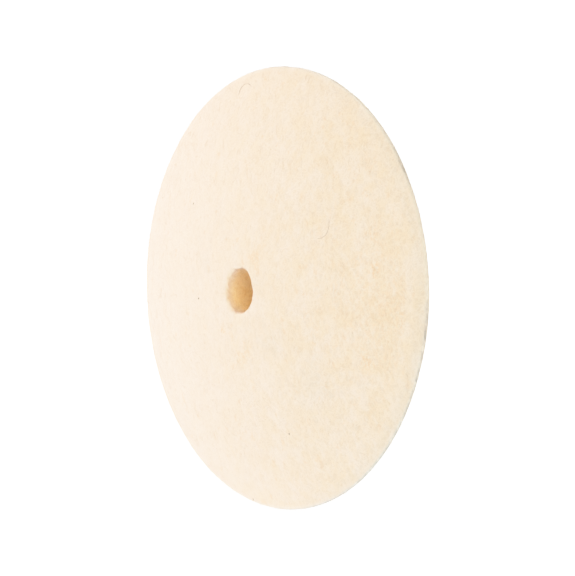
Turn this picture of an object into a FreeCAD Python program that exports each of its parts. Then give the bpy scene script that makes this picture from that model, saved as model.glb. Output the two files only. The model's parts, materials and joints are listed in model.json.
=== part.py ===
import FreeCAD, Part

import math
import os

# A lens-shaped polishing wheel of hard pressed wool felt. It is turned from one blank: two shallow
# crowns run together at a thin rounded edge, and one plain bore takes the spindle.
# Sizes are in millimetres. The origin is the wheel's centre, the wheel spins about +Y, and +Z is up.

# Driving dimensions
wheel_diameter = 100.0    # over the rounded edge
crown_thickness = 20.0    # from crown to crown, taken where the crowns would meet the axis
edge_radius = 0.6         # round of the thin edge between the two crowns
bore_diameter = 10.0      # plain hole for the spindle
mouth_radius = 0.6        # softened corner at each mouth of the bore

AXIS = FreeCAD.Vector(0, 1, 0)

# The half section lies in the XY plane: X is the distance from the axis, Y the height along it.
half_thickness = crown_thickness / 2
bore_radius = bore_diameter / 2
edge_centre_x = wheel_diameter / 2 - edge_radius

# Each crown is part of a sphere about a point of the axis. The sphere passes through the top of the
# crown on the axis and holds the round of the edge inside it, touching it once, so the two are
# tangent: the distance between their centres is the difference of their radii.
crown_radius = (edge_centre_x**2 + half_thickness**2 - edge_radius**2) / (
    2 * (half_thickness - edge_radius)
)
crown_centre_y = half_thickness - crown_radius
edge_angle = math.atan2(-crown_centre_y, edge_centre_x)

# The softened corner of the bore touches the bore's wall and the crown in the same way.
mouth_centre_x = bore_radius + mouth_radius
mouth_angle = math.acos(mouth_centre_x / (crown_radius - mouth_radius))
mouth_centre_y = crown_centre_y + (crown_radius - mouth_radius) * math.sin(mouth_angle)


def section_arc(centre_x, centre_y, radius, start_angle, end_angle):
    """An arc of the half section about a centre, its angles in radians from +X towards +Y."""
    angles = (start_angle, (start_angle + end_angle) / 2, end_angle)
    points = [
        FreeCAD.Vector(centre_x + radius * math.cos(a), centre_y + radius * math.sin(a), 0)
        for a in angles
    ]
    return Part.Arc(*points).toShape()


def section_half(side):
    """The corner of the bore and the crown on one side, +1 or -1 along Y, from bore to edge."""
    corner = section_arc(
        mouth_centre_x, side * mouth_centre_y, mouth_radius, side * math.pi, side * mouth_angle
    )
    crown = section_arc(0, side * crown_centre_y, crown_radius, side * mouth_angle, side * edge_angle)
    return [corner, crown]


def felt_wheel():
    """The whole wheel: its half section turned once about the axis."""
    bore_wall = Part.makeLine(
        FreeCAD.Vector(bore_radius, -mouth_centre_y, 0), FreeCAD.Vector(bore_radius, mouth_centre_y, 0)
    )
    thin_edge = section_arc(edge_centre_x, 0, edge_radius, edge_angle, -edge_angle)
    outline = [bore_wall] + section_half(+1) + [thin_edge] + section_half(-1)[::-1]
    section = Part.Face(Part.Wire(outline))
    return section.revolve(FreeCAD.Vector(0, 0, 0), AXIS, 360)


os.makedirs("parts", exist_ok=True)
felt_wheel().exportStep("parts/felt_wheel.step")
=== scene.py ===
import json
import math

import bpy
import numpy as np
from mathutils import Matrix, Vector


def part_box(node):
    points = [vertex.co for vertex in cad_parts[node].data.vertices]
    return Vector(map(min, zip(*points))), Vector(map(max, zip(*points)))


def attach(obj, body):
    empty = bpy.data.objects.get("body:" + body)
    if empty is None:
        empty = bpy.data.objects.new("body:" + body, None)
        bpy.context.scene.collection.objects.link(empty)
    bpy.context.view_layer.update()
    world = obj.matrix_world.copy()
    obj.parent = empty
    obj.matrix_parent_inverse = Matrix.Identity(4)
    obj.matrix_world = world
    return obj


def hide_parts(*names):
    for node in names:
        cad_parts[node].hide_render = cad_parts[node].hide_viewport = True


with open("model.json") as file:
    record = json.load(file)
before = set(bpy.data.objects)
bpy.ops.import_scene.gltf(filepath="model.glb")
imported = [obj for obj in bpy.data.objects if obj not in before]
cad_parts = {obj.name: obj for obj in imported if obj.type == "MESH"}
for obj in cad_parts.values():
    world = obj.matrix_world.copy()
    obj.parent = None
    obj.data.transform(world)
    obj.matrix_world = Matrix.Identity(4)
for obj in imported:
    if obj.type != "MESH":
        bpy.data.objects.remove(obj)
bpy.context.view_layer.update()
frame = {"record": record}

# A lens-shaped polishing wheel of pressed wool felt. It spins about +Y, its centre is the origin, and +Z is
# up. Lengths are in metres, and MM turns millimetres into metres.
MM = 0.001
WHEEL = "felt_wheel"
FRONT = -1    # the crown towards -Y
BACK = 1      # the crown towards +Y
FULL_TURN = 2 * math.pi
AXIS = np.array([0.0, 1.0, 0.0])


# ---------------------------------------------------------------------------------------------------------
# The turned shape, worked out from the frame
# ---------------------------------------------------------------------------------------------------------

wheel_low, wheel_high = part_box(WHEEL)
bore = frame["record"]["mounts"][0]["dims"]
rim_radius = wheel_high.x
bore_radius = bore["r_mm"] * MM
wall_half = bore["length_mm"] * MM / 2
corner = wheel_high.y - wall_half            # round of the bore's mouths and of the thin edge

edge_x = rim_radius - corner
mouth_x = bore_radius + corner

# Each crown is a sphere about a point of the axis. It holds the mouth's round and the edge's round inside
# it and touches both, so its centre is equally far from the centres of the two rounds.
crown_centre = (mouth_x**2 + wall_half**2 - edge_x**2) / (2 * wall_half)
crown_radius = math.hypot(edge_x, crown_centre) + corner
edge_angle = math.atan2(-crown_centre, edge_x)
mouth_angle = math.acos(mouth_x / (crown_radius - corner))


def random_field(wavelength, seed, waves=48):
    """A function that gives a smooth random height, mostly between -1 and 1, at any points of space. It is
    the sum of the cosines of plane waves in random directions, with random phases and with wavelengths
    from 0.75 to 1.35 of the one given, divided by the root of the number of waves."""
    rng = np.random.default_rng(seed)
    directions = rng.normal(size=(3, waves))
    directions /= np.linalg.norm(directions, axis=0)
    wave_vectors = directions * FULL_TURN / (wavelength * rng.uniform(0.75, 1.35, waves))
    phases = rng.uniform(0, FULL_TURN, waves)

    def height(points):
        return np.cos(points @ wave_vectors + phases).sum(-1) / math.sqrt(waves)

    return height


swell = random_field(34 * MM, seed=11)
dimples = random_field(6.5 * MM, seed=12)
tufts = random_field(2.2 * MM, seed=13)
ragged = random_field(3.4 * MM, seed=14)
torn = random_field(1.1 * MM, seed=15)


def bell(distance, width):
    """1 at no distance, falling as exp(-(distance / width) squared)."""
    return np.exp(-((distance / width) ** 2))


def spokes(turn):
    """The directions straight out from the axis at the angles given: (cos t, 0, sin t)."""
    return np.stack([np.cos(turn), np.zeros(len(turn)), np.sin(turn)], axis=-1)


def axis_distance(points):
    """The root of (x squared + z squared)."""
    return np.hypot(points[..., 0], points[..., 2])


def wall_depth(height):
    """How deep a height lies in the bore: 0 where the wall meets a mouth's round, 1 from 2 mm further in."""
    return np.clip((wall_half - np.abs(height)) / (2 * MM), 0, 1)


def felt_relief(points):
    """How far the felt stands off its turned shape at each point. The press leaves a slow swell, the
    dimples only sink, where their field is above a third, and the tufts go both ways. Near the bore's wall
    a coarser, torn relief is added, which fades with the distance from the wall as a bell curve."""
    sunk = np.maximum(dimples(points) - 0.35, 0)
    matted = 0.045 * swell(points) - 0.05 * sunk + 0.014 * tufts(points)
    cut = 0.07 * ragged(points) + 0.075 * torn(points)
    return MM * (matted + bell(axis_distance(points) - bore_radius, 1.1 * MM) * cut)


def settled(turned, normals, lift=0.0):
    """Points of the turned shape, moved to where the felt lies: out along their normals by the relief and
    the lift, and near the bore's front mouth the way that mouth is worn, which is a quarter of a millimetre
    down, and inwards by the square of x, more on its +X side than on its -X side. The wear fades as a bell
    curve away from the wall, and eases to nothing at the bore's middle."""
    forward = np.clip(-turned[..., 1] / wall_half, 0, 1)
    wear = MM * bell(axis_distance(turned) - bore_radius, 1.4 * MM) * forward**2 * (3 - 2 * forward)
    across = np.clip(turned[..., 0] / bore_radius, -1, 1)
    inwards = np.where(across > 0, -0.45, 0.22) * across**2
    worn = np.stack([wear * inwards, np.zeros(wear.shape), -0.25 * wear], axis=-1)
    return turned + normals * (felt_relief(turned) + lift)[..., None] + worn


def crown_surface(side, x, z, lift=0.0):
    """Points on one crown above the places (x, z) of the wheel's plane, and their outward normals. The
    height is the crown's sphere, centre + root of (radius squared - x squared - z squared)."""
    height = np.sqrt(crown_radius**2 - x**2 - z**2)
    normals = np.stack([x, side * height, z], axis=-1) / crown_radius
    turned = np.stack([x, side * (crown_centre + height), z], axis=-1)
    return settled(turned, normals, lift), normals


def wheel_profile():
    """The closed outline of the wheel's half section, as rows of (distance from the axis, height along Y),
    and the outward normal of each row. The bore's wall is a straight stretch. The five that follow are
    arcs, centre + radius * (cos a, sin a), whose normal is (cos a, sin a): the round of one mouth, one
    crown, the thin edge, and the other crown and mouth as mirror images."""
    wall_rows = 32
    wall_height = np.linspace(-wall_half, wall_half, wall_rows, endpoint=False)
    rows = [np.column_stack([np.full(wall_rows, bore_radius), wall_height])]
    normals = [np.tile([-1.0, 0.0], (wall_rows, 1))]
    arcs = [
        (mouth_x, wall_half, corner, math.pi, mouth_angle, 6),
        (0, crown_centre, crown_radius, mouth_angle, edge_angle, 68),
        (edge_x, 0, corner, edge_angle, -edge_angle, 10),
        (0, -crown_centre, crown_radius, -edge_angle, -mouth_angle, 68),
        (mouth_x, -wall_half, corner, -mouth_angle, -math.pi, 6),
    ]
    for centre_x, centre_y, radius, start, end, count in arcs:
        angles = np.linspace(start, end, count, endpoint=False)
        outward = np.column_stack([np.cos(angles), np.sin(angles)])
        rows.append(np.array([centre_x, centre_y]) + radius * outward)
        normals.append(outward)
    return np.concatenate(rows), np.concatenate(normals)


# ---------------------------------------------------------------------------------------------------------
# Pieces
# ---------------------------------------------------------------------------------------------------------

def new_piece(name, points, faces, material):
    """A smooth mesh object at the origin, from an array of points and an array of faces that all have the
    same number of corners. It rides on the wheel."""
    mesh = bpy.data.meshes.new(name)
    mesh.vertices.add(len(points))
    mesh.vertices.foreach_set("co", points.astype(np.float32).ravel())
    mesh.loops.add(faces.size)
    mesh.loops.foreach_set("vertex_index", faces.astype(np.int32).ravel())
    mesh.polygons.add(len(faces))
    mesh.polygons.foreach_set("loop_start", np.arange(0, faces.size, faces.shape[1], dtype=np.int32))
    mesh.polygons.foreach_set("use_smooth", np.ones(len(faces), bool))
    mesh.update(calc_edges=True)
    mesh.validate()
    mesh.materials.append(material)
    piece = bpy.data.objects.new(name, mesh)
    bpy.context.scene.collection.objects.link(piece)
    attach(piece, "root")
    return piece


def set_attribute(piece, name, values):
    """Stores one number per point of a piece, for its material to read."""
    attribute = piece.data.attributes.new(name, "FLOAT", "POINT")
    attribute.data.foreach_set("value", values.astype(np.float32).ravel())


def front_marks(points, marks):
    """How strongly each point lies in one of the marks on the front crown, 0 to 1. A mark is (x, z, width)
    in millimetres, a bell curve about its place whose distance is made uneven by the ragged field."""
    strength = np.zeros(points.shape[:-1])
    front = points[..., 1] < -2 * MM
    for x, z, width in marks:
        distance = np.hypot(points[..., 0] - x * MM, points[..., 2] - z * MM)
        uneven = distance * (1 + 0.45 * ragged(points))
        strength = np.maximum(strength, front * bell(uneven, width * MM))
    return strength


def dark_edge_line(points):
    """How dark the thin edge is painted, 0 to 1: a line just in front of its crest, a bell curve across, that
    runs round the lower +X side. It is darker at a few places, each a bell curve along the edge, given as
    (height, length, strength) with the first two in millimetres. The torn field breaks the line up."""
    x, y, z = np.moveaxis(points, -1, 0)
    along = 0.55 * np.clip(-z / (3 * MM), 0, 1)
    places = [(26.5, 4, 0.8), (-7, 5, 0.85), (-18, 2, 0.8), (-33, 2, 0.7), (-40, 2, 0.7)]
    for height, length, strength in places:
        along = np.maximum(along, strength * bell(z - height * MM, length * MM))
    from_line = np.hypot(rim_radius - axis_distance(points), y + 0.17 * MM)
    broken = np.clip(0.75 + 0.5 * torn(points), 0, 1)
    return along * broken * bell(from_line, 0.33 * MM) * np.clip(x / (15 * MM), 0, 1)


def felt_body(material):
    """The felt itself: the outline carried once round the axis, on a grid that closes both ways. A point is
    (distance * cos t, height, distance * sin t), and is then settled."""
    around = 520
    rows, row_normals = wheel_profile()
    out = spokes(np.linspace(0, FULL_TURN, around, endpoint=False))
    turned = rows[:, None, :1] * out + rows[:, None, 1:] * AXIS
    normals = row_normals[:, None, :1] * out + row_normals[:, None, 1:] * AXIS
    points = settled(turned, normals)
    row = np.arange(len(rows) * around).reshape(len(rows), around)
    next_row = np.roll(row, -1, axis=0)
    faces = np.stack([row, np.roll(row, -1, axis=1), np.roll(next_row, -1, axis=1), next_row], axis=-1)
    piece = new_piece("felt_body", points.reshape(-1, 3), faces.reshape(-1, 4), material)

    in_bore = wall_depth(turned[..., 1]) * (axis_distance(turned) < mouth_x)
    tan_marks = front_marks(turned, [(37.5, 12, 1.8), (38.5, 4.5, 1.7), (45.5, -5, 2.4), (5.5, 7, 1.9),
                                     (-6.5, -9, 1.3), (36, -15, 1.9), (-0.5, -15.5, 2.0), (-8, -49, 0.9)])
    tan_wash = front_marks(turned, [(43, -3, 18)])
    grey_marks = front_marks(turned, [(10, -11, 3.0), (22, -21, 4.5), (-14, 6, 2.5)])
    from_rim = rim_radius - axis_distance(turned)
    to_right = np.clip(turned[..., 0] / rim_radius, 0, 1)
    # A grey band just inside the rim, growing towards +X.
    grey_band_towards_right = bell(from_rim - 1.2 * MM, 1.3 * MM) * to_right
    # Painted glow: this mask tints the wool warmer and redder deeper in the bore, standing in for light
    # bounced inside it.
    set_attribute(piece, "bore_glow_mask", in_bore)
    set_attribute(piece, "tan_stain", np.maximum(tan_marks, 0.48 * tan_wash))
    set_attribute(piece, "grey_stain_and_rim_band", np.maximum(0.5 * grey_marks, 0.6 * grey_band_towards_right))
    # A dark line painted along the edge's crest on the lower +X side.
    set_attribute(piece, "dark_edge_line", dark_edge_line(turned))
    # Painted sheen: a pale band on the thin edge's crest, weaker towards +X where the edge lies in shade.
    set_attribute(piece, "painted_rim_sheen", (0.95 - 0.45 * to_right**4) * bell(from_rim, 0.33 * MM))
    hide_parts(WHEEL)


def unit(vectors):
    """The vectors at length 1."""
    return vectors / np.linalg.norm(vectors, axis=-1, keepdims=True)


def fibre_tubes(name, lines, across, half_widths, material):
    """Fibres as three-sided tubes that close to a point at both ends. lines holds the middle line of each,
    as (fibres, points, 3), and across one direction per fibre that its line doesn't follow. A ring's
    corner is the middle point + half width * (cos c * side + sin c * lift), where side and lift are square
    to the line, and c is 90, 210 and 330 degrees."""
    fibres, points, _ = lines.shape
    along = unit(np.gradient(lines, axis=1))
    side = unit(np.cross(along, across[:, None, :]))
    lift = np.cross(side, along)
    corners = np.radians([90, 210, 330])[:, None]
    around = np.cos(corners) * side[:, 1:-1, None, :] + np.sin(corners) * lift[:, 1:-1, None, :]
    rings = lines[:, 1:-1, None, :] + half_widths[:, None, None, None] * around
    shell = np.concatenate([lines[:, :1], rings.reshape(fibres, -1, 3), lines[:, -1:]], axis=1)

    ring_count = points - 2
    this = 1 + np.arange(3)
    after = 1 + (np.arange(3) + 1) % 3
    tail = 3 * (ring_count - 1)
    end = 3 * ring_count + 1
    local = [np.column_stack([np.zeros(3, int), after, this])]
    for ring in range(ring_count - 1):
        near, far = 3 * ring, 3 * ring + 3
        local.append(np.column_stack([this + near, after + near, after + far]))
        local.append(np.column_stack([this + near, after + far, this + far]))
    local.append(np.column_stack([this + tail, after + tail, np.full(3, end)]))
    local = np.concatenate(local)
    faces = local + (np.arange(fibres) * (end + 1))[:, None, None]
    piece = new_piece(name, shell.reshape(-1, 3), faces.reshape(-1, 3), material)
    shade = np.random.default_rng(fibres).uniform(0, 1, fibres)
    set_attribute(piece, "fibre_shade", np.repeat(shade, end + 1))
    return piece


def matted_wool(name, side, count, seed, material):
    """Fibres that lie matted on one crown. Each starts at a random place and heads a random way. Its
    heading turns steadily and wiggles as a sine, and its line is the running sum of its steps, which are a
    quarter shorter sideways, folded back where it would pass the edge or the bore. It arches over the felt
    as half a sine, with both ends tucked in, and one in eight lets its far end rise with the cube of the
    way along."""
    rng = np.random.default_rng(seed)
    points = 9
    way = np.linspace(0, 1, points)
    inner, outer = mouth_x + 0.2 * MM, edge_x - 0.5 * MM
    reach = np.sqrt(rng.uniform(inner**2, outer**2, count))
    turn = rng.uniform(0, FULL_TURN, count)
    bend, wiggle = rng.normal(0, 1.5, count), rng.uniform(0.1, 0.9, count)
    waves, start = rng.uniform(0.6, 1.6, count), rng.uniform(0, 1, count)
    sway = np.sin(FULL_TURN * (waves[:, None] * way + start[:, None]))
    heading = rng.uniform(0, FULL_TURN, count)[:, None] + bend[:, None] * way + wiggle[:, None] * sway
    length = MM * np.clip(rng.lognormal(0.75, 0.45, count), 0.8, 6.0)
    step = length[:, None] / (points - 1)
    x = (reach * np.cos(turn))[:, None] + np.cumsum(0.75 * step * np.cos(heading), axis=1)
    z = (reach * np.sin(turn))[:, None] + np.cumsum(step * np.sin(heading), axis=1)
    distance = np.hypot(x, z)
    folded = np.where(distance > outer, 2 * outer - distance, distance)
    folded = np.where(folded < inner, 2 * inner - folded, folded)
    arch = rng.uniform(0.02, 0.04, count)[:, None] * np.sin(math.pi * way) - 0.02
    loose = (rng.uniform(0, 1, count) < 1 / 8) * rng.uniform(0.1, 0.4, count)
    lift = MM * (arch + loose[:, None] * way**3)
    lines, normals = crown_surface(side, x * folded / distance, z * folded / distance, lift)
    half_widths = MM * rng.uniform(0.009, 0.020, count)
    return fibre_tubes(name, lines, normals[:, 0], half_widths, material)


def standing_lines(starts, outward, lengths, lean, rng):
    """Middle lines of short hairs that stand off a surface: start + length * (s * direction + s squared *
    droop), where s runs from a little under the surface to 1. The direction leans from the outward one
    towards a random sideways one, and the droop is another random sideways direction."""
    def sideways():
        return unit(np.cross(outward, rng.normal(size=outward.shape)))

    points, root = 6, -0.12
    way = np.linspace(root, 1, points)[:, None]
    direction = np.cos(lean)[:, None] * outward + np.sin(lean)[:, None] * sideways()
    droop = rng.uniform(0.1, 0.7, len(starts))[:, None] * sideways()
    path = way * direction[:, None, :] + way * np.abs(way) * droop[:, None, :]
    return starts[:, None, :] + lengths[:, None, None] * path


def edge_fuzz(count, seed, material):
    """Short hairs round the thin edge. They start on its round, edge centre + corner * (cos a, sin a), with
    a within 75 degrees of straight out, and stand off it at a lean."""
    rng = np.random.default_rng(seed)
    turn = rng.uniform(0, FULL_TURN, count)
    a = rng.uniform(-1.3, 1.3, count)
    outward = np.cos(a)[:, None] * spokes(turn) + np.sin(a)[:, None] * AXIS
    starts = edge_x * spokes(turn) + corner * outward
    lengths = MM * np.clip(rng.lognormal(-1.3, 0.5, count), 0.1, 0.9)
    lines = standing_lines(starts, outward, lengths, rng.uniform(0.4, 1.35, count), rng)
    across = unit(rng.normal(size=(count, 3)))
    fibre_tubes("edge_fuzz", lines, across, MM * rng.uniform(0.008, 0.016, count), material)


def bore_fuzz(count, seed, material):
    """Cut fibre ends on the bore's wall, the more the nearer to a mouth, leaning well over. They start at
    bore radius * (cos t, sin t), at a height of half the wall's length times a random number to the power
    0.4, up or down."""
    rng = np.random.default_rng(seed)
    turn = rng.uniform(0, FULL_TURN, count)
    height = wall_half * np.sign(rng.uniform(-1, 1, count)) * rng.uniform(0, 1, count) ** 0.4
    inward = -spokes(turn)
    starts = settled(height[:, None] * AXIS - bore_radius * inward, inward)
    lengths = MM * np.clip(rng.lognormal(-0.6, 0.5, count), 0.15, 1.6)
    lines = standing_lines(starts, inward, lengths, rng.uniform(0.9, 1.5, count), rng)
    across = unit(rng.normal(size=(count, 3)))
    piece = fibre_tubes("bore_fuzz", lines, across, MM * rng.uniform(0.012, 0.028, count), material)
    # Painted glow in the bore, as on the felt.
    set_attribute(piece, "bore_glow_mask", np.repeat(wall_depth(height), len(piece.data.vertices) // count))


def dark_hair(name, places, half_width, material):
    """A stray dark hair on the front crown, through a few places (x, z) in millimetres. Its line follows the
    curve of least degree through them, so it turns smoothly, and it lies on the felt."""
    points = 28
    marks = MM * np.array(places)
    knots = np.linspace(0, 1, len(marks))
    way = np.linspace(0, 1, points)
    x, z = (np.polyval(np.polyfit(knots, marks[:, k], len(marks) - 1), way) for k in (0, 1))
    lift = half_width * (0.8 - 2.4 * np.abs(2 * way - 1) ** 8)
    lines, normals = crown_surface(FRONT, x, z, lift)
    fibre_tubes(name, lines[None], normals[:1], np.array([half_width]), material)


def dark_specks(places, seed, material):
    """Tiny crumbs of dark hair on the front crown: at each place (x, z), in millimetres, a few bits that
    cross there. A bit is a straight line, place + way * length * (cos a, sin a), just over the felt."""
    rng = np.random.default_rng(seed)
    bits, points = 3, 5
    count = bits * len(places)
    middle = MM * (np.repeat(places, bits, axis=0) + rng.normal(0, 0.07, (count, 2)))
    a = rng.uniform(0, FULL_TURN, count)
    way = MM * rng.uniform(0.3, 0.6, count)[:, None] * np.linspace(-0.5, 0.5, points)
    x = middle[:, :1] + way * np.cos(a)[:, None]
    z = middle[:, 1:] + way * np.sin(a)[:, None]
    lines, normals = crown_surface(FRONT, x, z, 0.02 * MM)
    fibre_tubes("dark_specks", lines, normals[:, 0], np.full(count, 0.065 * MM), material)


# ---------------------------------------------------------------------------------------------------------
# Materials
# ---------------------------------------------------------------------------------------------------------

def feed(tree, node, inputs):
    """Sets each input of a node, by name or number, to a value, or joins it to the socket given."""
    for key, value in inputs.items():
        if isinstance(value, bpy.types.NodeSocket):
            tree.links.new(value, node.inputs[key])
        else:
            node.inputs[key].default_value = value


def new_node(tree, kind, inputs, **settings):
    """A node of a tree, with its settings and its inputs."""
    node = tree.nodes.new("ShaderNode" + kind)
    for name, value in settings.items():
        setattr(node, name, value)
    feed(tree, node, inputs)
    return node


def stored(tree, name):
    """One of the numbers that set_attribute stores."""
    return new_node(tree, "Attribute", {}, attribute_name=name).outputs["Fac"]


def math_node(tree, operation, *values):
    """The result of a Math node."""
    return new_node(tree, "Math", dict(enumerate(values)), operation=operation).outputs[0]


def mix_colors(tree, factor, first, second, blend="MIX"):
    """The first colour blended with the second. A Mix node has its colours in sockets 6 and 7, and its
    result in socket 2."""
    inputs = {"Factor": factor, 6: first, 7: second}
    return new_node(tree, "Mix", inputs, data_type="RGBA", blend_type=blend).outputs[2]


def vector_node(tree, operation, *values):
    """The result of a Vector Math node on two vectors."""
    return new_node(tree, "VectorMath", dict(enumerate(values)), operation=operation).outputs[0]


def noise(tree, vector, scale, detail=2.0, roughness=0.5):
    """A noise at a place. Its first output is a value and its second a colour."""
    inputs = {"Vector": vector, "Scale": scale, "Detail": detail, "Roughness": roughness}
    return new_node(tree, "TexNoise", inputs).outputs


def spread(tree, value, low, high):
    """The value carried from low..high to 0..1, eased at both ends."""
    node = new_node(tree, "MapRange", {0: value, 1: low, 2: high}, interpolation_type="SMOOTHSTEP")
    return node.outputs[0]


def new_group(name, inputs, outputs):
    """An empty node group. inputs are (name, kind, default) and outputs (name, kind)."""
    tree = bpy.data.node_groups.new(name, "ShaderNodeTree")
    for label, kind, default in inputs:
        socket = tree.interface.new_socket(label, in_out="INPUT", socket_type="NodeSocket" + kind)
        if default is not None:
            socket.default_value = default
    for label, kind in outputs:
        tree.interface.new_socket(label, in_out="OUTPUT", socket_type="NodeSocket" + kind)
    return tree, tree.nodes.new("NodeGroupInput").outputs, tree.nodes.new("NodeGroupOutput").inputs


def matted_strands_group():
    """Matted fibres. The place is curled by a noise and laid three ways, 60 degrees apart in the wheel's
    plane. In each laying a noise stretched along the strands gives ridges where it crosses one half, the
    thicker the less open the felt is, and the highest of the three ridges is the felt's height there."""
    tree, given, result = new_group(
        "matted strands",
        [("Place", "Vector", None), ("Strand Width", "Float", 0.3), ("Stretch", "Float", 5.0),
         ("Curl", "Float", 0.6), ("Openness", "Float", 0.12)],
        [("Height", "Float")],
    )
    curl_noise = noise(tree, given["Place"], 0.7, 1.0)["Color"]
    centred = vector_node(tree, "SUBTRACT", curl_noise, (0.5, 0.5, 0.5))
    curl = new_node(tree, "VectorMath", {0: centred, "Scale": given["Curl"]}, operation="SCALE").outputs[0]
    curled = vector_node(tree, "ADD", given["Place"], curl)
    fineness = math_node(tree, "DIVIDE", 1.0, given["Strand Width"])
    along = math_node(tree, "DIVIDE", 1.0, given["Stretch"])
    stretch = new_node(tree, "CombineXYZ", {0: along, 1: 1.0, 2: 1.0}).outputs[0]
    highest = 0.0
    for angle, shift in ((0, 0), (60, 13), (120, 29)):
        turned = new_node(
            tree, "VectorRotate", {"Vector": curled, "Axis": (0, 1, 0), "Angle": math.radians(angle)}
        ).outputs[0]
        shifted = vector_node(tree, "ADD", turned, (shift, shift, shift))
        laid = vector_node(tree, "MULTIPLY", shifted, stretch)
        strand = noise(tree, laid, fineness, 1.0)[0]
        off_crest = math_node(tree, "ABSOLUTE", math_node(tree, "SUBTRACT", strand, 0.5))
        ridge = math_node(tree, "SUBTRACT", 1.0, math_node(tree, "DIVIDE", off_crest, given["Openness"]))
        highest = math_node(tree, "MAXIMUM", highest, ridge)
    tree.links.new(highest, result["Height"])
    return tree


def wool_colour_group():
    """The uneven cream of pressed wool. It is warmer between the strands and paler on their crests, and three
    noises of falling size add to that. A few tan flecks lie where a fourth noise is near its top."""
    tree, given, result = new_group(
        "wool colour",
        [("Place", "Vector", None), ("Pale", "Color", (1, 1, 1, 1)), ("Warm", "Color", (1, 1, 1, 1)),
         ("Fleck", "Color", (1, 1, 1, 1)), ("Fleck Amount", "Float", 0.5), ("Contrast", "Float", 1.0),
         ("Strands", "Float", 0.5)],
        [("Color", "Color")],
    )
    warmth = math_node(tree, "MULTIPLY_ADD", given["Strands"], -0.15, 0.155)
    layers = ((0.14, 0.38, 0.62, 0.34), (0.38, 0.42, 0.58, 0.36), (1.3, 0.40, 0.60, 0.14))
    for scale, low, high, share in layers:
        layer = spread(tree, noise(tree, given["Place"], scale, 3.0, 0.65)[0], low, high)
        warmth = math_node(tree, "MULTIPLY_ADD", layer, share, warmth)
    off_middle = math_node(tree, "SUBTRACT", warmth, 0.5)
    blend = math_node(tree, "MULTIPLY_ADD", off_middle, given["Contrast"], 0.5)
    ground = mix_colors(tree, blend, given["Pale"], given["Warm"])
    rare = spread(tree, noise(tree, given["Place"], 0.42, 2.0, 0.65)[0], 0.62, 0.74)
    flecks = math_node(tree, "MULTIPLY", rare, given["Fleck Amount"])
    tree.links.new(mix_colors(tree, flecks, ground, given["Fleck"]), result["Color"])
    return tree


def place_in_mm(tree):
    """The place on the piece, in millimetres. Its height is shortened and its x is lengthened, so patterns
    come out longer upright than across, the way the wool was laid."""
    coordinates = new_node(tree, "TexCoord", {}).outputs["Object"]
    return vector_node(tree, "MULTIPLY", coordinates, (1100, 1000, 800))


def use_group(tree, group, inputs):
    """The outputs of a node group placed in a material."""
    node = tree.nodes.new("ShaderNodeGroup")
    node.node_tree = group
    feed(tree, node, inputs)
    return node.outputs


def new_material(name, roughness, sheen):
    """A material that hardly shines, with the soft sheen of wool."""
    material = bpy.data.materials.new(name)
    material.use_nodes = True
    shader = material.node_tree.nodes["Principled BSDF"]
    shader.inputs["Roughness"].default_value = roughness
    shader.inputs["Specular IOR Level"].default_value = 0.2
    shader.inputs["Sheen Weight"].default_value = sheen
    shader.inputs["Sheen Roughness"].default_value = 0.5
    return material, material.node_tree, shader


# The colours of the wool and of what lies on it
PALE_WOOL = (0.90, 0.70, 0.56, 1)
WARM_WOOL = (0.88, 0.637, 0.445, 1)
LOOSE_WOOL = (0.93, 0.75, 0.61, 1)
FLECK = (0.87, 0.56, 0.35, 1)
# Painted sheen along the thin edge.
RIM_SHEEN_PAINT = (0.91, 0.83, 0.74, 1)
BORE_GLOW_TINT = (1.09, 1.02, 0.75, 1)     # painted glow: multiplies the wool's colour deeper in the bore, standing in for light bounced inside it
GREY_WOOL = (0.60, 0.55, 0.46, 1)
# A dark line painted along the edge.
DARK_EDGE_COLOUR = (0.30, 0.27, 0.24, 1)
PALE_KEMP = (0.34, 0.27, 0.19, 1)
DARK_KEMP = (0.22, 0.17, 0.12, 1)
DARKEST_KEMP = (0.15, 0.11, 0.08, 1)


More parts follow.
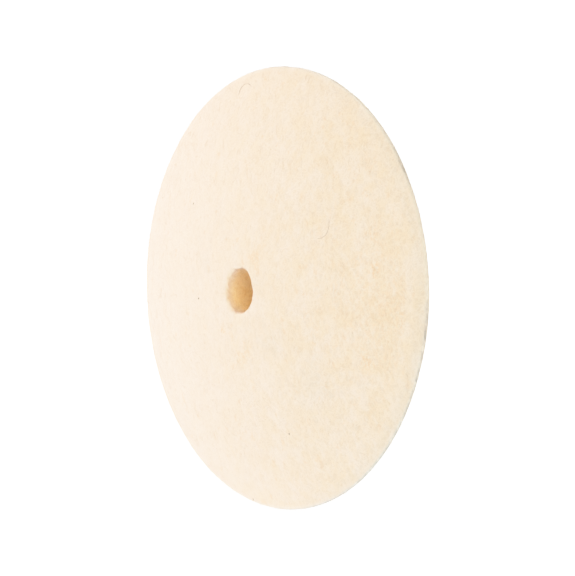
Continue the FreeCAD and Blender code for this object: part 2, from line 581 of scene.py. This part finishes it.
def pressed_felt(strands_group, colour_group):
    """The matted surface. Coarse and fine strands give its bump, its roughness, painted shade in the gaps
    between them and warmer gaps. The painted shade and the pale-and-warm mottle are both weaker towards -X
    and stronger towards +X, painted to follow the light, which falls flat and frontal on the -X side and
    grazes the
    +X side. Over the wool go the masks that the body carries: tan stains, a painted warm glow of light
    bounced inside the bore, a painted pale sheen along the thin edge, grey stains with a grey band near the
    rim that grows towards +X, and a dark line painted along the edge."""
    material, tree, shader = new_material("pressed felt", 0.95, 0.15)
    place = place_in_mm(tree)
    across = new_node(tree, "SeparateXYZ", {0: place}).outputs[0]
    # Painted light: the mottle and the painted shade are weaker towards -X, where the light falls flat and
    # frontal, and stronger towards +X, where it grazes.
    contrast = math_node(tree, "MULTIPLY_ADD", spread(tree, across, -30.0, 44.0), 0.85, 0.3)
    bore_glow_mask = stored(tree, "bore_glow_mask")
    contrast = math_node(tree, "ADD", contrast, bore_glow_mask)
    coarse = use_group(tree, strands_group, {
        "Place": place, "Strand Width": 1.15, "Stretch": 2.2, "Curl": 1.4, "Openness": 0.075,
    })["Height"]
    fine = use_group(tree, strands_group, {
        "Place": place, "Strand Width": 0.38, "Stretch": 3.5, "Curl": 0.5, "Openness": 0.12,
    })["Height"]
    wool = use_group(tree, colour_group, {
        "Place": place, "Pale": PALE_WOOL, "Warm": WARM_WOOL, "Fleck": FLECK, "Fleck Amount": 0.45,
        "Contrast": contrast, "Strands": coarse,
    })["Color"]

    broken = spread(tree, noise(tree, place, 1.2, 4.0, 0.75)[0], 0.42, 0.60)
    tan = mix_colors(tree, math_node(tree, "MULTIPLY", stored(tree, "tan_stain"), broken), wool, FLECK)
    # Painted glow: the colour grows warmer and redder deeper in the bore, standing in for light bounced
    # inside it.
    cut = mix_colors(tree, bore_glow_mask, tan, BORE_GLOW_TINT, "MULTIPLY")
    # Painted sheen: the thin edge's crest is paler.
    sheened = mix_colors(tree, stored(tree, "painted_rim_sheen"), cut, RIM_SHEEN_PAINT)
    # Grey stains, and a grey band near the rim that grows towards +X.
    grey_share = math_node(tree, "MULTIPLY", stored(tree, "grey_stain_and_rim_band"), 0.35)
    grey = mix_colors(tree, grey_share, sheened, GREY_WOOL)
    # A dark line painted along the edge.
    edge_darkened = mix_colors(tree, stored(tree, "dark_edge_line"), grey, DARK_EDGE_COLOUR)
    strands = math_node(tree, "MULTIPLY_ADD", coarse, 0.55, math_node(tree, "MULTIPLY", fine, 0.45))
    gap = math_node(tree, "SUBTRACT", 0.6, strands)
    deep = math_node(tree, "MULTIPLY", gap, math_node(tree, "SQRT", contrast))
    shade = math_node(tree, "MULTIPLY_ADD", deep, -0.14, 1.0)
    shade_color = new_node(tree, "CombineColor", {0: shade, 1: shade, 2: shade}).outputs[0]
    shaded = mix_colors(tree, 1.0, edge_darkened, shade_color, "MULTIPLY")
    tree.links.new(shaded, shader.inputs["Base Color"])

    roughness = new_node(tree, "MapRange", {0: strands, 1: 0.0, 2: 1.0, 3: 1.0, 4: 0.82}).outputs[0]
    tree.links.new(roughness, shader.inputs["Roughness"])
    bump = new_node(tree, "Bump", {"Height": strands, "Strength": 0.48, "Distance": 0.10 * MM})
    tree.links.new(bump.outputs[0], shader.inputs["Normal"])
    return material


def loose_wool(colour_group):
    """Single fibres: the felt's own colours, each fibre a little paler or warmer than the next, and on those
    that lie in the bore the same painted glow, warmer and redder, that stands in for light bounced inside it."""
    material, tree, shader = new_material("loose wool", 0.7, 0.3)
    wool = use_group(tree, colour_group, {
        "Place": place_in_mm(tree), "Pale": LOOSE_WOOL, "Warm": PALE_WOOL, "Fleck": FLECK,
        "Fleck Amount": 0.2,
    })["Color"]
    few_warm = math_node(tree, "POWER", stored(tree, "fibre_shade"), 3.0)
    warm = mix_colors(tree, math_node(tree, "MULTIPLY", few_warm, 0.6), wool, WARM_WOOL)
    # Painted glow in the bore, as on the felt.
    cut = mix_colors(tree, stored(tree, "bore_glow_mask"), warm, BORE_GLOW_TINT, "MULTIPLY")
    tree.links.new(cut, shader.inputs["Base Color"])
    return material


def dark_kemp(colour_group):
    """Coarse dark hairs: the same unevenness, between two dull browns."""
    material, tree, shader = new_material("dark kemp", 0.6, 0.1)
    brown = use_group(tree, colour_group, {
        "Place": place_in_mm(tree), "Pale": PALE_KEMP, "Warm": DARK_KEMP, "Fleck": DARKEST_KEMP,
        "Fleck Amount": 0.5,
    })["Color"]
    tree.links.new(brown, shader.inputs["Base Color"])
    return material


# ---------------------------------------------------------------------------------------------------------
# Floor, light and camera
# ---------------------------------------------------------------------------------------------------------

BACKDROP_GLOW = 2.2    # past the film's white


def seen_or_lighting(tree, seen, lighting, output):
    """Shows one shader to the camera and lets the other light the room. It ends at the output of the kind
    given."""
    path = new_node(tree, "LightPath", {}).outputs["Is Camera Ray"]
    mix = new_node(tree, "MixShader", {0: path, 1: lighting, 2: seen})
    tree.links.new(mix.outputs[0], tree.nodes.new(output).inputs["Surface"])


def studio_floor():
    """A wide white disc, just under the wheel's edge. Near the wheel it is plain paper under a soft glow,
    and further out it whitens until it can't be told from the backdrop."""
    radius, corners, gap = 6.0, 96, 0.8 * MM
    paper_white, cool = (0.75, 0.75, 0.75, 1), (0.73, 1.05, 1.27, 1)
    turn = np.linspace(0, FULL_TURN, corners, endpoint=False)
    height = np.full(corners, wheel_low.z - gap)
    disc = np.stack([radius * np.cos(turn), radius * np.sin(turn), height], axis=-1)
    mesh = bpy.data.meshes.new("studio_floor")
    mesh.from_pydata(disc.tolist(), [], [list(range(corners))])
    floor = bpy.data.objects.new("studio_floor", mesh)
    bpy.context.scene.collection.objects.link(floor)
    material = bpy.data.materials.new("white paper")
    material.use_nodes = True
    tree = material.node_tree
    tree.nodes.clear()
    paper = new_node(tree, "BsdfDiffuse", {"Color": paper_white}).outputs[0]
    coordinates = new_node(tree, "TexCoord", {}).outputs["Object"]
    away = new_node(tree, "VectorMath", {0: coordinates}, operation="LENGTH").outputs["Value"]
    near_glow = new_node(tree, "Emission", {"Strength": 1.15}).outputs[0]
    near = new_node(tree, "AddShader", {0: paper, 1: near_glow}).outputs[0]
    far = new_node(tree, "Emission", {"Strength": BACKDROP_GLOW}).outputs[0]
    bright = new_node(tree, "MixShader", {0: spread(tree, away, 0.12, 0.55), 1: near, 2: far}).outputs[0]
    dim_glow = new_node(tree, "Emission", {"Color": cool, "Strength": 0.57}).outputs[0]
    dim = new_node(tree, "AddShader", {0: paper, 1: dim_glow}).outputs[0]
    seen_or_lighting(tree, bright, dim, "ShaderNodeOutputMaterial")
    mesh.materials.append(material)


def outward_at(azimuth, elevation):
    """The way out from the centre, in degrees. Azimuth 0 is in front, towards -Y, and 90 is towards +X."""
    a, e = math.radians(azimuth), math.radians(elevation)
    return Vector((math.sin(a) * math.cos(e), -math.cos(a) * math.cos(e), math.sin(e)))


def soft_box(name, azimuth, elevation, distance, width, height, power, color):
    """A soft box that faces the wheel's centre. Its distance and sides are in metres, its power in watts."""
    lamp = bpy.data.lights.new(name, "AREA")
    lamp.shape = "RECTANGLE"
    lamp.size = width
    lamp.size_y = height
    lamp.energy = power
    lamp.color = color
    box = bpy.data.objects.new(name, lamp)
    towards = outward_at(azimuth, elevation)
    box.location = distance * towards
    box.rotation_euler = towards.to_track_quat("Z", "Y").to_euler()
    bpy.context.scene.collection.objects.link(box)


def studio():
    """A white backdrop that hardly lights the room, and five soft boxes: a strong one on the left, a warm one
    on the right, a weak one above, a weak one over the edge, and one behind for the far crown."""
    world = bpy.data.worlds.new("studio")
    bpy.context.scene.world = world
    world.use_nodes = True
    tree = world.node_tree
    tree.nodes.clear()
    fill = new_node(tree, "Background", {"Strength": 0.02}).outputs[0]
    backdrop = new_node(tree, "Background", {"Strength": BACKDROP_GLOW}).outputs[0]
    seen_or_lighting(tree, backdrop, fill, "ShaderNodeOutputWorld")
    # azimuth, elevation, distance, width, height, power, colour
    soft_box("left_softbox", -64, 14, 1.0, 0.9, 1.1, 16.9, (1.0, 0.91, 0.95))
    soft_box("right_softbox", 60, 14, 1.0, 0.7, 1.1, 9.2, (1.0, 0.93, 0.72))
    soft_box("top_softbox", -10, 62, 1.1, 0.8, 0.8, 1.8, (1.0, 1.0, 1.0))
    soft_box("edge_softbox", 150, 74, 1.1, 0.8, 0.8, 1.8, (1.0, 1.0, 1.0))
    soft_box("back_softbox", -156, 18, 1.1, 0.9, 0.9, 8.0, (1.0, 0.99, 0.90))


def camera():
    """A long lens, about 50 degrees round from the front towards +X and hardly above the wheel's centre. It
    stands 7.6 rim radii away, and a little aside, so that the wheel is left of the middle."""
    azimuth, elevation = 50.5, 1.92
    distance, aside, up = 7.6, 0.0628, 0.0017    # in rim radii
    away = outward_at(azimuth, elevation)
    sideways = outward_at(azimuth + 90, 0)
    data = bpy.data.cameras.new("camera")
    data.lens = 104.9
    eye = bpy.data.objects.new("camera", data)
    eye.location = rim_radius * (distance * away + aside * sideways + Vector((0, 0, up)))
    eye.rotation_euler = away.to_track_quat("Z", "Y").to_euler()
    bpy.context.scene.collection.objects.link(eye)
    bpy.context.scene.camera = eye


def film():
    """Plain colours up to 0.7, then a soft shoulder that reaches white at 1.6."""
    white = 1.6
    view = bpy.context.scene.view_settings
    view.view_transform = "Standard"
    view.use_curve_mapping = True
    curves = view.curve_mapping
    curves.white_level = (white, white, white)
    all_colours = curves.curves[3]
    for light, shown in ((0.70, 0.70), (0.95, 0.855), (1.26, 0.965)):
        all_colours.points.new(light / white, shown)
    curves.update()


strands_group = matted_strands_group()
colour_group = wool_colour_group()
felt = pressed_felt(strands_group, colour_group)
wool = loose_wool(colour_group)
kemp = dark_kemp(colour_group)

felt_body(felt)
matted_wool("front_matted_wool", FRONT, count=4500, seed=21, material=wool)
matted_wool("back_matted_wool", BACK, count=4500, seed=22, material=wool)
edge_fuzz(count=5000, seed=23, material=wool)
bore_fuzz(count=2800, seed=24, material=wool)
dark_hair("hooked_hair", [(-9.8, 43.8), (-9.7, 45.8), (-8.0, 46.6), (-5.8, 45.8)], 0.034 * MM, kemp)
dark_hair("curved_hair", [(23.6, 11.4), (25.6, 11.8), (26.6, 13.4), (26.4, 15.8)], 0.029 * MM, kemp)
dark_specks([(-21.1, 19.4), (-16.5, -2.6), (-6.7, -48.8), (12.4, -31.5)], seed=25, material=kemp)

studio_floor()
studio()
camera()
film()
